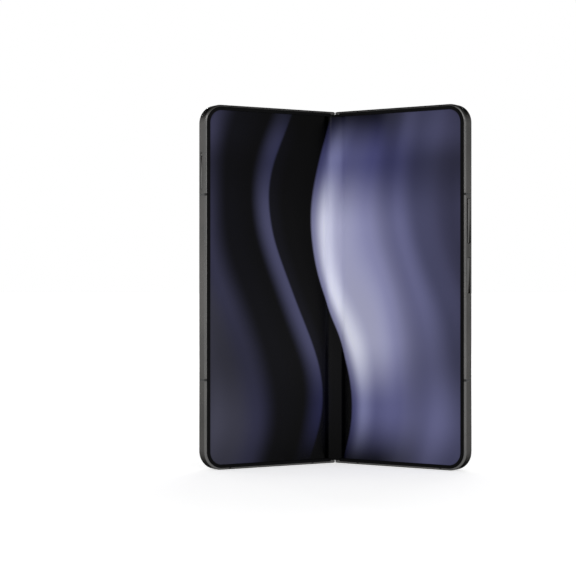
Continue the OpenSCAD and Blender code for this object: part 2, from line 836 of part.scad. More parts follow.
module cover_side_idlers()
    color("#b9b7ae") on_spine() at_both_modules() mirror([1, 0, 0])
        translate([idler_x, idler_y, 0]) idler(idler_phase + 180 / idler_teeth);

module friction_washers()
    color("#8a6b3c") on_spine() at_both_modules()
        for (s = [-1, 1], i = [0:washer_count - 1])
            translate([s * idler_x, idler_y, washer_z + i * washer_pitch])
                difference() {
                    cylinder(r = idler_r - 0.05, h = washer_t);
                    translate([0, 0, -1]) cylinder(r = shaft_r + 0.03, h = washer_t + 2);
                }

module shaft_nuts()
    color("#c9c9c9") on_spine() at_both_modules()
        for (s = [-1, 1])
            translate([s * idler_x, idler_y, nut_z])
                difference() {
                    cylinder(r = idler_r - 0.1, h = nut_t, $fn = 6);
                    translate([0, 0, -1]) cylinder(r = shaft_r + 0.03, h = nut_t + 2);
                }

module centre_support_plate()
    color("#8d8f92") on_spine()
        difference() {
            block([-support_w, support_w], support_y, [spine_z0, spine_z1]);
            at_both_modules()
                for (s = [[-5, -0.45], [0.45, 5]])
                    block(s, [0, 2], [gear_z - slip, gear_z + gear_len + slip]);
        }

// A long plate that tips away from the screen as the phone shuts.
module wing()
    translate([wing_pivot[0], wing_pivot[1], 0]) rotate([0, 0, -fold_angle * wing_ratio])
        translate([-wing_pivot[0], -wing_pivot[1], 0]) {
            block(wing_x, [wing_top, wing_top + wing_t], [spine_z0 + cap_t, spine_z1 - cap_t]);
            for (z = wing_knuckle_z) {
                block([wing_x[1] - 0.5, wing_pivot[0]], [backing_y + 0.06, wing_pivot[1]],
                    around(z, knuckle_len / 2));
                translate([wing_pivot[0], wing_pivot[1], z]) {
                    cylinder(r = knuckle_pin_r, h = knuckle_len, center = true);
                    cylinder(r = 0.2, h = knuckle_len + 1.4, center = true);
                }
            }
        }

module camera_side_wing() color("#a3a5a8") on_camera_half() wing();
module cover_side_wing() color("#a3a5a8") on_cover_half() wing();

// ---------------------------------------------------------------- camera half

module island_outline(grow)
    translate([island_x, (lens_z[0] + lens_z[2]) / 2])
        rotate(90) pill(island_w + 2 * (lens_pitch + grow), island_w + 2 * grow);

module rear_glass()
    color("#d6d6d8") on_camera_half()
        thick(glass_y, half_t)
            difference() {
                outline(glass_hinge_gap, glass_inset);
                island_outline(slip / 2);
                translate([flash_x, lens_z[0]]) circle(flash_r + slip / 2);
            }

flash_x = island_x - island_w / 2 - 5;
island_flange = 0.8;

module camera_island()
    color("#6a6863") on_camera_half()
        difference() {
            union() {
                thick(glass_y, half_t + island_h) island_outline(0);
                thick(glass_y - 0.6, glass_y) island_outline(island_flange);
            }
            for (z = lens_z)
                disc(lens_ring_r - lens_ring_wall - slip, island_x, z, 0, half_t + 5);
            for (z = lens_z)
                disc(lens_ring_r + 0.04, island_x, z, half_t + island_h - 0.4, half_t + 5);
        }

module lens_rings()
    color("#8b8984") on_camera_half()
        for (z = lens_z)
            difference() {
                disc(lens_ring_r, island_x, z, half_t + island_h - 0.4, half_t + island_h + lens_ring_h);
                disc(lens_ring_r - lens_ring_wall, island_x, z, 0, half_t + 9);
            }

module lens_windows()
    color("#08080a") on_camera_half()
        for (z = lens_z)
            disc(lens_ring_r - lens_ring_wall, island_x, z,
                half_t + island_h + lens_ring_h - 0.2 - lens_window_t, half_t + island_h + lens_ring_h - 0.2);

// A camera: a square base on the middle plate and a round lens barrel under its window.
module camera_unit(z, barrel_r, base_w) {
    top = half_t + island_h + lens_ring_h - 0.2 - lens_window_t - 0.2;
    block(around(island_x, base_w / 2), [floor_y, floor_y + 2], around(z, base_w / 2));
    difference() {
        disc(barrel_r, island_x, z, floor_y + 2 - touch, top);
        disc(barrel_r - 0.8, island_x, z, top - 0.7, top + 1);
        disc(barrel_r - 1.8, island_x, z, top - 1.4, top + 1);
    }
}

module ultra_wide_camera() color("#1c1c20") on_camera_half() camera_unit(lens_z[0], 3.9, 9.6);
module wide_camera() color("#1c1c20") on_camera_half() camera_unit(lens_z[1], 4.9, 11.4);
module telephoto_camera() color("#1c1c20") on_camera_half() camera_unit(lens_z[2], 3.7, 10);

module flash_window()
    color("#efece2") on_camera_half() disc(flash_r, flash_x, lens_z[0], glass_y - 0.5, half_t);

module flash_led()
    color("#e9c65b") on_camera_half()
        block(around(flash_x, 1), [board_y + board_t, glass_y - 0.5], around(lens_z[0], 1));

module main_board()
    color("#1f4a35") on_camera_half()
        difference() {
            thick(board_y, board_y + board_t)
                difference() {
                    translate([board_x, board_z1 - main_board_h])
                        square([half_w - board_inset - board_x, main_board_h]);
                    translate([island_cut_x, board_z1 - main_board_h - 1])
                        square([half_w, main_board_h - 1]);
                }
            for (p = board_spots) disc(screw_r + 0.05, p[0], p[1], 0, half_t);
            disc(under_camera_r + 0.3, under_camera[0], under_camera[1], 0, half_t);
        }

// A shield can on a board.  b gives its width and its lower and upper edges as shares.
module shield_can(w, h, b)
    block([board_x + 2, board_x + 2 + b[0] * w], [board_y + board_t, board_y + board_t + can_h],
        [board_z1 - h + b[1] * h, board_z1 - h + b[2] * h]);

module main_board_shields()
    color("#b4b6b8") on_camera_half()
        for (b = [[0.46, 0.57, 0.86], [0.64, 0.14, 0.53]])
            shield_can(island_cut_x - board_x, main_board_h, b);

module battery(h, t) {
    block([battery_x, battery_x + battery_w], [floor_y, floor_y + t], [battery_z, battery_z + h]);
    block([battery_x + battery_w / 3 + 0.4, battery_x + battery_w * 2 / 3 - 0.4], [floor_y, floor_y + 1.2],
        [battery_z + h - touch, battery_z + h + 2.5]);
}

module camera_half_battery() color("#26282c") on_camera_half() battery(camera_battery_h, battery_t);

module charging_coil()
    color("#b87333") on_camera_half()
        difference() {
            disc(coil_r, coil[0], coil[1], floor_y + battery_t, glass_y - 0.1);
            disc(coil_bore, coil[0], coil[1], 0, half_t);
        }

module charging_port()
    color("#a9abad") on_camera_half() {
        translate([port_x, port_y, 0.2]) difference() {
            linear_extrude(port_depth + 0.4) pill(port_w + 2 * port_wall, port_h + 2 * port_wall);
            translate([0, 0, -1]) linear_extrude(port_depth + 1) pill(port_w, port_h);
        }
        block(around(port_x, 3.35), around(port_y, 0.35), [2, port_depth + 0.3]);
    }

module loudspeaker()
    color("#222326") on_camera_half()
        difference() {
            block([speaker_x, speaker_x + speaker_w], [floor_y, glass_y - 0.4],
                [rail_w + 0.2, battery_z - 1.5]);
            block([speaker_x + 1, speaker_x + speaker_w - 1], [side_y + slot_w / 2 + 0.4, half_t],
                [rail_w, rail_w + 1.2]);
        }

module key_switches()
    color("#c9c9c9") on_camera_half() {
        block([half_w - 4.4, half_w - 4], [floor_y, side_y + 1],
            [power_z - power_len / 3, volume_z + volume_len / 2]);
        for (z = [power_z, volume_z - volume_len / 3, volume_z + volume_len / 3])
            translate([half_w - 4 - touch, side_y, z]) rotate([0, 90, 0]) cylinder(r = 1, h = 0.6);
    }

module camera_half_screws()
    color("#c9c9c9") on_camera_half()
        for (p = board_spots) screw(p[0], p[1], board_y + board_t, board_t + 0.4);

// A camera that looks out through a hole in the middle plate and the screen's backing.
module under_screen_camera()
    color("#1c1c20") on_camera_half() {
        disc(under_camera_r, under_camera[0], under_camera[1], floor_y, floor_y + 2.4);
        disc(under_camera_eye_r, under_camera[0], under_camera[1], screen_t + 0.05, floor_y + touch);
    }

module key(len, proud) {
    block([half_w - shoulder_n - touch, half_w + proud], around(side_y, key_w / 2), [-len / 2, len / 2]);
    flange_x = half_w - shoulder_n - key_travel - 0.05;
    block([flange_x - 0.5, flange_x], around(side_y, key_w / 2 + key_flange),
        [-len / 2 - key_flange, len / 2 + key_flange]);
    block([half_w - 3.4 + key_travel + 0.05, half_w - shoulder_n], around(side_y, 0.6),
        [-len / 3 - 0.8, len / 3 + 0.8]);
}

module volume_key()
    color("#5b5955") on_camera_half() translate([0, 0, volume_z]) {
        key(volume_len, key_proud);
        translate([rock_x, side_y, 0]) rotate([90, 0, 0])
            cylinder(r = rock_r, h = key_w + 2 * key_flange, center = true);
    }
module power_key() color("#5b5955") on_camera_half() translate([0, 0, power_z]) key(power_len, 0);

// ---------------------------------------------------------------- cover half

module cover_glass()
    color("#0a0a0c") on_cover_half()
        thick(glass_y, half_t)
            difference() {
                outline(glass_hinge_gap, glass_inset);
                translate([cover_camera_x, phone_h - glass_inset - 0.5]) pill(earpiece_slit, 0.5);
            }

module cover_screen_panel()
    color("#16161a") on_cover_half()
        thick(glass_y - panel_t, glass_y)
            difference() {
                outline(hinge_wall_x + 0.2, rail_w + 0.3);
                translate([cover_camera_x, cover_camera_z]) circle(cover_camera_r + 0.2);
            }

module cover_camera()
    color("#1c1c20") on_cover_half() {
        disc(cover_camera_r, cover_camera_x, cover_camera_z, floor_y + 1.5 - touch, glass_y);
        block(around(cover_camera_x, cover_camera_w / 2), [floor_y, floor_y + 1.5],
            around(cover_camera_z, cover_camera_w / 2));
    }

module earpiece()
    color("#222326") on_cover_half()
        block([earpiece_x, earpiece_x + earpiece_w], [floor_y, glass_y - panel_t - 0.2],
            [earpiece_z, earpiece_z + earpiece_h]);

module cover_half_battery() color("#26282c") on_cover_half() battery(cover_battery_h, cover_battery_t);

module sub_board()
    color("#1f4a35") on_cover_half()
        difference() {
            thick(board_y, board_y + board_t)
                difference() {
                    translate([board_x, board_z1 - sub_board_h])
                        square([half_w - board_inset - board_x, sub_board_h]);
                    translate([sub_notch[0], sub_notch[1]])
                        square([earpiece_x + earpiece_w + 3 - sub_notch[0], board_z1]);
                }
            for (p = sub_board_spots) disc(screw_r + 0.05, p[0], p[1], 0, half_t);
        }

module sub_board_shields()
    color("#b4b6b8") on_cover_half()
        shield_can(half_w - board_inset - board_x, sub_board_h, [0.33, 0.28, 0.68]);

module haptic_motor()
    color("#b4b6b8") on_cover_half()
        block([half_w - 6 - motor_w, half_w - 6], [floor_y, floor_y + motor_t],
            [rail_w + 0.7, rail_w + 0.7 + motor_h]);

module card_reader()
    color("#b4b6b8") on_cover_half()
        difference() {
            block([half_w - tray_depth - 1.5, half_w - rail_w - 1.2], around(tray_y, tray_t / 2 + 0.35),
                around(tray_z, tray_len / 2 - 0.2));
            block([half_w - tray_depth - 0.5, half_w], around(tray_y, tray_t / 2 + slip),
                around(tray_z, tray_len / 2 - 0.8 + slip));
        }

module card_tray()
    color("#5b5955") on_cover_half()
        difference() {
            union() {
                block([half_w - 1.2, half_w], around(tray_y, tray_t / 2), around(tray_z, tray_len / 2));
                block([half_w - tray_depth, half_w - 1], around(tray_y, tray_t / 2 - 0.1),
                    around(tray_z, tray_len / 2 - 0.8));
            }
            block([half_w - tray_depth + 1, half_w - 3.5], [tray_y - 0.2, tray_y + 1],
                around(tray_z, tray_len / 2 - 1.6));
            translate([half_w - 2, tray_y, tray_z + tray_len / 2 - 1.6])
                rotate([0, 90, 0]) cylinder(r = 0.4, h = 4);
        }

module cover_half_screws()
    color("#c9c9c9") on_cover_half()
        for (p = sub_board_spots) screw(p[0], p[1], board_y + board_t, board_t + 0.4);

// ---------------------------------------------------------------- what is drawn

camera_half_frame();
camera_half_antenna_bands();
rear_glass();
camera_island();
lens_rings();
lens_windows();
wide_camera();
ultra_wide_camera();
telephoto_camera();
flash_window();
flash_led();
main_board();
main_board_shields();
camera_half_battery();
charging_coil();
charging_port();
loudspeaker();
key_switches();
camera_half_screws();
under_screen_camera();
camera_side_bezel();
camera_side_screen();
camera_side_backing();
camera_side_hinge_arms();
camera_arm_screws();
volume_key();
power_key();
cover_half_frame();
cover_half_antenna_bands();
cover_glass();
cover_screen_panel();
cover_camera();
earpiece();
cover_half_battery();
sub_board();
sub_board_shields();
haptic_motor();
card_reader();
card_tray();
cover_half_screws();
cover_side_bezel();
cover_side_screen();
cover_side_backing();
cover_side_hinge_arms();
cover_arm_screws();
spine_cover();
spine_end_caps();
upper_hinge_bracket();
lower_hinge_bracket();
bracket_screws();
camera_side_idlers();
cover_side_idlers();
friction_washers();
shaft_nuts();
centre_support_plate();
screen_bend();
hinge_flex_cables();
camera_side_wing();
cover_side_wing();
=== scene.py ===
import json

import bmesh
import bpy
import numpy as np
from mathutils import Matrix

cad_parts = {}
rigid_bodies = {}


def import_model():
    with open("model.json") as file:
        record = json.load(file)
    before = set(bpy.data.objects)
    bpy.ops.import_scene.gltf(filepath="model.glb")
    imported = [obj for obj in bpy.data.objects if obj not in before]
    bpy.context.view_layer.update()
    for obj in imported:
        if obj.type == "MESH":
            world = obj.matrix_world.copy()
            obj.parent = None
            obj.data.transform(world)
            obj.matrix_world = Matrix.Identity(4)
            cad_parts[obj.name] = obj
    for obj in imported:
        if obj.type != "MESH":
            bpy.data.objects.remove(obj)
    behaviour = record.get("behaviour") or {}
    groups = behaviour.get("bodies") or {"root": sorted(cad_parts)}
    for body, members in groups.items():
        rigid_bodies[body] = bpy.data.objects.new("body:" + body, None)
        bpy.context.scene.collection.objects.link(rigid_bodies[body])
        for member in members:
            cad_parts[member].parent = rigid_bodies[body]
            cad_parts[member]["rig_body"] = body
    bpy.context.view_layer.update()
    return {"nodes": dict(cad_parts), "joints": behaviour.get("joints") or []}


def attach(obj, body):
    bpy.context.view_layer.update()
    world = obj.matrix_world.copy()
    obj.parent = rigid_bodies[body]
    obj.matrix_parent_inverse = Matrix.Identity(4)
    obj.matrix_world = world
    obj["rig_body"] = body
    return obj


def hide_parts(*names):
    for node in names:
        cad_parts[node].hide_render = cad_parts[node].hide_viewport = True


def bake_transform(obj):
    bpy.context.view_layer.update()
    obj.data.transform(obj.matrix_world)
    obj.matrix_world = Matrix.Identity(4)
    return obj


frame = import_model()

# ---------------------------------------------------------------- studio
# The phone stands part open on a wide white floor that runs out into a white room, seen with a long
# lens from half its height. Five soft boxes and the pale room light it, and the ceiling is dim. A
# small bright box behind puts glints in the rear lenses.
camera = bpy.data.objects.new("camera", bpy.data.cameras.new("camera"))
camera.data.lens = 102.75
camera.data.sensor_width = 36
camera.data.clip_start = 0.01
camera.location = (0, -0.7114, 0.0761)
camera.rotation_euler = np.radians((90.084, 0, 1.64))
bpy.context.scene.collection.objects.link(camera)
bpy.context.scene.camera = camera
bpy.context.scene.view_settings.view_transform = "Standard"


def lamp(name, place, aim, size, power):
    """A soft box at a place, turned to face the point it is aimed at."""
    box = bpy.data.objects.new(name, bpy.data.lights.new(name, "AREA"))
    box.data.shape = "RECTANGLE"
    box.data.size, box.data.size_y = size
    box.data.energy = power
    box.location = place
    away = np.array(place, float) - np.array(aim, float)
    box.rotation_euler = (np.arctan2(np.hypot(away[0], away[1]), away[2]), 0, np.arctan2(away[0], -away[1]))
    bpy.context.scene.collection.objects.link(box)


PHONE_MIDDLE = (0, 0, 0.08)
lamp("key_box", (-0.55, -1.2, 0.85), PHONE_MIDDLE, (0.7, 0.6), 4.0)
lamp("fill_box", (0.5, -1.3, 0.4), PHONE_MIDDLE, (0.5, 0.6), 2.0)
lamp("left_strip", (-1.15, 0.5, 0.25), PHONE_MIDDLE, (0.6, 0.8), 1.8)
lamp("right_strip", (1.15, 0.5, 0.25), PHONE_MIDDLE, (0.6, 0.8), 0.8)
lamp("back_box", (0.25, 1.15, 0.9), PHONE_MIDDLE, (0.8, 0.5), 3.4)
lamp("glint_box", (-0.75, 1.2, 0.6), (0, 0, 0.1), (0.07, 0.07), 0.9)

room = bpy.data.worlds.new("room")
room.use_nodes = True
bpy.context.scene.world = room


def wire(material, kind, sockets=(), **settings):
    """A node of one kind in a material. Its sockets take a constant, or another node's output."""
    made = material.node_tree.nodes.new("ShaderNode" + kind)
    for setting, value in settings.items():
        setattr(made, setting, value)
    for socket, value in dict(sockets).items():
        if isinstance(value, bpy.types.ShaderNode):
            value = value.outputs[0]
        if isinstance(value, bpy.types.NodeSocket):
            material.node_tree.links.new(value, made.inputs[socket])
        else:
            made.inputs[socket].default_value = value
    return made


facing = wire(room, "SeparateXYZ", {"Vector": wire(room, "TexCoord").outputs["Generated"]})
walls_to_ceiling = {"From Min": 0.0, "From Max": 0.85, "To Min": 0.84, "To Max": 0.16}
height = wire(room, "MapRange", {"Value": facing.outputs["Z"], **walls_to_ceiling})
height.interpolation_type = "SMOOTHSTEP"
seen_by_lens = wire(room, "LightPath").outputs["Is Camera Ray"]
level = wire(room, "Mix", {0: seen_by_lens, 2: height, 3: 1.0}, data_type="FLOAT")
room.node_tree.links.new(level.outputs[0], room.node_tree.nodes["Background"].inputs["Strength"])
room.node_tree.nodes["Background"].inputs["Color"].default_value = (1, 1, 1, 1)


def finish(name, sockets):
    """A material with one shader. Its sockets are set here; a pattern is wired to them later."""
    made = bpy.data.materials.new(name)
    made.use_nodes = True
    for socket, value in sockets.items():
        made.node_tree.nodes["Principled BSDF"].inputs[socket].default_value = value
    return made


def feed(material, socket, source):
    """Wires a pattern to a socket of the material's shader."""
    source = source.outputs[0] if isinstance(source, bpy.types.ShaderNode) else source
    material.node_tree.links.new(source, material.node_tree.nodes["Principled BSDF"].inputs[socket])


def tint(code):
    """A colour written as six hex digits, as the linear values that shaders take."""
    srgb = np.array([int(code[i : i + 2], 16) for i in (0, 2, 4)]) / 255
    return (*np.where(srgb > 0.04045, ((srgb + 0.055) / 1.055) ** 2.4, srgb / 12.92), 1.0)


def skin(name, points, around=False):
    """A mesh from a grid of points, rows by columns by three, in metres. Each cell of the grid is
    one face. around joins the last column to the first."""
    rows, columns = points.shape[:2]
    index = np.arange(rows * columns).reshape(rows, columns)
    if around:
        index = np.concatenate([index, index[:, :1]], 1)
    faces = np.stack([index[:-1, :-1], index[:-1, 1:], index[1:, 1:], index[1:, :-1]], -1).reshape(-1, 4)
    mesh = bpy.data.meshes.new(name)
    mesh.from_pydata(points.reshape(-1, 3).tolist(), [], faces.tolist())
    made = bpy.data.objects.new(name, mesh)
    bpy.context.scene.collection.objects.link(made)
    return made


# The floor's own light, which only the lens, metal and glass see, grows outwards until the floor is
# as white as the room, so that no horizon shows.
paper = finish("paper", {"Base Color": tint("f6f6f6"), "Roughness": 0.9, "Specular IOR Level": 0.1})
seen = wire(paper, "LightPath")
direct = seen.outputs["Is Camera Ray"]
for ray in ("Is Glossy Ray", "Is Transmission Ray"):
    direct = wire(paper, "Math", {0: direct, 1: seen.outputs[ray]}, operation="MAXIMUM")
floor_place = wire(paper, "TexCoord").outputs["Object"]
far_out = wire(paper, "VectorMath", {0: floor_place}, operation="LENGTH").outputs["Value"]
near_to_far = {"From Min": 0.12, "From Max": 0.9, "To Min": 0.56, "To Max": 0.95}
glow = wire(paper, "MapRange", {"Value": far_out, **near_to_far})
feed(paper, "Emission Strength", wire(paper, "Math", {0: direct, 1: glow}, operation="MULTIPLY"))
paper.node_tree.nodes["Principled BSDF"].inputs["Emission Color"].default_value = (1, 1, 1, 1)
FLOOR_REACH, FLOOR_Z = 40, -0.00002
reach = np.linspace(-FLOOR_REACH, FLOOR_REACH, 3)
floor = skin("floor", np.stack(np.broadcast_arrays(reach[None, :], reach[:, None], FLOOR_Z), -1))
floor.data.materials.append(paper)

# ---------------------------------------------------------------- rails
# The frame of each half is milled from one block of aluminium, bead blasted and anodised in
# graphite. The plastic antenna bands are moulded through its rail and milled flush with it.
MM = 0.001


def grain(material, scale, height, strength):
    """A fine even roughness of the surface, as bead blasting or a mould leaves: scale in grains a
    metre, height in metres."""
    place = wire(material, "TexCoord").outputs["Object"]
    noise = wire(material, "TexNoise", {"Vector": place, "Scale": scale, "Detail": 2, "Roughness": 0.6})
    bump = wire(material, "Bump", {"Height": noise, "Strength": strength, "Distance": height})
    feed(material, "Normal", bump)


def drift(material, socket, scale, low, high):
    """Lets a value wander over the surface between two ends, as handling and polishing leave it."""
    place = wire(material, "TexCoord").outputs["Object"]
    noise = wire(material, "TexNoise", {"Vector": place, "Scale": scale, "Detail": 2})
    ends = {"From Min": 0.3, "From Max": 0.7, "To Min": low, "To Max": high}
    feed(material, socket, wire(material, "MapRange", {"Value": noise, **ends}))


def mixed(material, socket, share, dark, light):
    """Mixes two colours by a share from 0 to 1 and wires them to a socket."""
    colours = wire(material, "Mix", {0: share, 6: tint(dark), 7: tint(light)}, data_type="RGBA")
    feed(material, socket, colours.outputs[2])


def two_tone(material, scale, dark, light, detail=3):
    """Mixes two near shades in soft clouds."""
    place = wire(material, "TexCoord").outputs["Object"]
    noise = wire(material, "TexNoise", {"Vector": place, "Scale": scale, "Detail": detail})
    cloud = wire(material, "MapRange", {"Value": noise, "From Min": 0.3, "From Max": 0.7})
    mixed(material, "Base Color", cloud, dark, light)


def eased(node, ease, material, segments=2):
    """A copy of a CAD solid with its corners merged, its flat faces made whole and every sharp edge
    rounded by ease, in millimetres. It rides where the solid does and stands for it."""
    source = frame["nodes"][node]
    shape = bmesh.new()
    shape.from_mesh(source.data)
    bmesh.ops.remove_doubles(shape, verts=shape.verts, dist=2e-6)
    bmesh.ops.dissolve_limit(shape, angle_limit=np.radians(0.5), verts=shape.verts, edges=shape.edges)
    mesh = bpy.data.meshes.new(node + "_eased")
    shape.to_mesh(mesh)
    shape.free()
    made = bpy.data.objects.new(node + "_eased", mesh)
    bpy.context.scene.collection.objects.link(made)
    mesh.materials.append(material)
    mesh.shade_smooth()
    bevel = made.modifiers.new("ease", "BEVEL")
    bevel.width = ease * MM
    bevel.segments = segments
    bevel.limit_method = "ANGLE"
    bevel.angle_limit = np.radians(38)
    bevel.use_clamp_overlap = False
    bevel.harden_normals = True
    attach(made, source["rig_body"])
    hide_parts(node)


def dress(node, material):
    """Gives a CAD solid that keeps its shape its finish."""
    for material_slot in frame["nodes"][node].material_slots:
        material_slot.material = material


graphite = finish("graphite_anodised", {"Metallic": 1.0, "Specular Tint": tint("303030")})
two_tone(graphite, 35, "5a5a59", "646362")
drift(graphite, "Roughness", 60, 0.24, 0.31)
grain(graphite, 9000, 0.00003, 0.25)
band_plastic = finish("antenna_band_plastic", {"Base Color": tint("232322"), "Specular IOR Level": 0.25})
drift(band_plastic, "Roughness", 300, 0.42, 0.52)
grain(band_plastic, 12000, 0.00002, 0.3)
for half in ("camera", "cover"):
    dress(half + "_half_frame", graphite)
    dress(half + "_half_antenna_bands", band_plastic)

# ---------------------------------------------------------------- folding screen
# One plastic panel crosses both halves, with a thin glass skin bonded on its front. It is glued to
# the plates behind each half and bends freely over the hinge, so each side is made as a flat sheet
# and rolled round its hinge axis.
OPEN_ANGLE = np.radians(32)
HALF_WIDTH, HEIGHT, HALF_T, CORNER_R = 64.95, 154.9, 6.1, 8.0
HALVES = ((1, "camera"), (-1, "cover"))
hinge_at = next(j for j in frame["joints"] if j["name"] == "camera_fold")["pos_m"]
AXIS_X, AXIS_Y = hinge_at[0] / MM, 1.2
FRONT_Y = hinge_at[1] / MM - AXIS_Y


def turned(x, y, angle):
    """Points of the flat half turned back by angle round its hinge axis, in the half's own plane."""
    u, v = x - AXIS_X, y - AXIS_Y
    return AXIS_X + u * np.cos(angle) + v * np.sin(angle), AXIS_Y - u * np.sin(angle) + v * np.cos(angle)


def on_half(x, y, z, side):
    """Points in the flat half, in millimetres: x out from the fold, y back from its front, z up.
    They are given back in the row frame, in metres. side is 1 for the camera half, -1 for the cover."""
    x, y, z = np.broadcast_arrays(*(np.asarray(v, float) for v in (x, y, z)))
    u, v = turned(x, y, OPEN_ANGLE)
    return np.stack([side * u, v + FRONT_Y, z], -1) * MM


BEND = 6.0
chord = np.array(turned(np.array(BEND), np.array(0.0), OPEN_ANGLE))


def rolled(x, y, z, side):
    """Points of a flat sheet at rest. Each turns by its own share of the half's angle. That share
    is where the point lies along the chord from the fold to the end of the bend, eased as
    t*t*(3 - 2*t); it is found by repeating, so that the sheet is quite flat when the phone is."""
    x, y, z = np.broadcast_arrays(*(np.asarray(v, float) for v in (x, y, z)))
    u, v = x, y
    for _ in range(60):
        t = np.clip((u * chord[0] + v * chord[1]) / (chord @ chord), 0, 1)
        u, v = turned(x, y, OPEN_ANGLE * t * t * (3 - 2 * t))
    return np.stack([side * u, v + FRONT_Y, z], -1) * MM


def roll_with_hinge(sheet):
    """Bakes a rolled sheet's place into its mesh, in its rest shape."""
    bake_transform(sheet)


def edge_of_half(x, inset):
    """Lowest and highest z of a half at distance x from the fold, for an outline drawn in by inset:
    straight, then an arc of the corner's radius less inset at the outer corners."""
    r = CORNER_R - inset
    over = np.clip(x - (HALF_WIDTH - CORNER_R), 0, r)
    drop = inset + r - np.sqrt(np.maximum(r * r - over * over, 0))
    return drop, HEIGHT - drop


SCREEN_IN, SCREEN_T, SCREEN_ROWS = 1.4, 0.5, 61
bend_columns = np.linspace(0, BEND, 25)
flat_columns = np.linspace(BEND, HALF_WIDTH - CORNER_R, 40)[1:]
corner_turn = np.linspace(0, np.pi / 2, 25)[1:]
corner_columns = HALF_WIDTH - CORNER_R + (CORNER_R - SCREEN_IN) * np.sin(corner_turn)
columns = np.concatenate([bend_columns, flat_columns, corner_columns])
lowest, highest = edge_of_half(columns, SCREEN_IN)
front = lowest[:, None] + (highest - lowest)[:, None] * np.linspace(0, 1, SCREEN_ROWS)[None, :]


def smoothed(made, angle):
    """Shades a piece smooth, apart from the edges that turn by more than angle, in degrees."""
    made.data.shade_smooth()
    made.data.set_sharp_from_angle(angle=np.radians(angle))


def fill_ramp(ramp_node, stops):
    """Sets an eased colour ramp from pairs of a place and a colour or level."""
    ramp = ramp_node.color_ramp
    ramp.interpolation = "EASE"
    while len(ramp.elements) < len(stops):
        ramp.elements.new(0.5)
    for element, (at, value) in zip(ramp.elements, stops):
        element.position = at
        element.color = tint(value) if isinstance(value, str) else (value, value, value, 1)


def silk_picture():
    """Dusk-coloured silk hung in soft folds: a bright fold beside the hinge, dark cloth to its left,
    and slate towards the outer edges. A slow sine leans the folds, noise sways them, and a finer
    wave pleats the cloth. u runs across both halves and v up, both from 0 to 1."""
    made = finish("screen_picture", {"Roughness": 0.14, "Specular IOR Level": 0.06, "Emission Strength": 0.3})
    place = wire(made, "UVMap", uv_map="screen")
    parts = wire(made, "SeparateXYZ", {"Vector": place})
    u, v = parts.outputs["X"], parts.outputs["Y"]

    def calc(kind, *terms):
        """One step of arithmetic."""
        return wire(made, "Math", dict(enumerate(terms)), operation=kind)

    def spread(value, start, end, low=0.0, high=1.0, **settings):
        """Carries the range from start to end over to the range from low to high."""
        ends = {"From Min": start, "From Max": end, "To Min": low, "To Max": high}
        return wire(made, "MapRange", {"Value": value, **ends}, **settings)

    stretched = wire(made, "Mapping", {"Vector": place, "Scale": (1.3, 0.9, 1)})
    slow = wire(made, "TexNoise", {"Vector": stretched, "Scale": 1.6, "Detail": 1.0})
    lean = calc("MULTIPLY", calc("SINE", calc("MULTIPLY_ADD", v, 5.4, -2.5)), 0.085)
    swayed = calc("ADD", calc("ADD", u, lean), calc("MULTIPLY_ADD", slow, 0.2, -0.1))
    cloth = wire(made, "ValToRGB", {"Fac": swayed})
    cloth_stops = [
        (0.0, "40404f"), (0.08, "34344a"), (0.17, "0b0b12"), (0.26, "050508"), (0.335, "505170"),
        (0.345, "12121a"), (0.40, "060608"), (0.476, "030304"), (0.484, "8586a8"), (0.53, "d3d5e6"),
        (0.60, "b0b1cf"), (0.70, "8586ab"), (0.80, "66678c"), (0.90, "4f5070"), (1.0, "3b3b54"),
    ]
    fill_ramp(cloth, cloth_stops)
    pleats = wire(made, "CombineXYZ", {0: swayed, 1: calc("MULTIPLY", v, 0.12)})
    pleat_wave = {"Scale": 2.1, "Distortion": 5.5, "Detail": 1.0, "Detail Scale": 0.6}
    bands = {"wave_type": "BANDS", "bands_direction": "X", "wave_profile": "SIN"}
    pleat = wire(made, "TexWave", {"Vector": pleats, **pleat_wave}, **bands)
    pleat_level = spread(pleat.outputs["Fac"], 0.0, 1.0, 0.84, 1.06)
    middle_fade = wire(made, "ValToRGB", {"Fac": v})
    middle_stops = [(0.0, "0c0c14"), (0.16, "8f90b0"), (0.36, "ffffff"), (0.66, "ffffff"), (0.86, "8586a6")]
    fill_ramp(middle_fade, [*middle_stops, (1.0, "0a0a12")])
    edge_fade = wire(made, "ValToRGB", {"Fac": v})
    edge_stops = [(0.0, 0.75), (0.12, 1.0), (0.3, 0.6), (0.5, 0.85), (0.7, 0.95), (0.84, 0.6), (0.93, 1.1)]
    fill_ramp(edge_fade, [*edge_stops, (1.0, 0.9)])
    from_middle = calc("ABSOLUTE", calc("SUBTRACT", u, 0.52))
    edge_share = spread(from_middle, 0.14, 0.44, interpolation_type="SMOOTHSTEP")
    fade = wire(made, "Mix", {0: edge_share, 6: middle_fade, 7: edge_fade}, data_type="RGBA").outputs[2]
    unlit = 2.3 / HEIGHT
    rim = calc("MULTIPLY", calc("GREATER_THAN", v, unlit), calc("LESS_THAN", v, 1 - unlit))
    lit = wire(made, "VectorMath", {0: fade, 1: calc("MULTIPLY", pleat_level, rim)}, operation="MULTIPLY")
    picture = wire(made, "VectorMath", {0: cloth, 1: lit}, operation="MULTIPLY")
    feed(made, "Base Color", picture)
    feed(made, "Emission Color", picture)
    return made


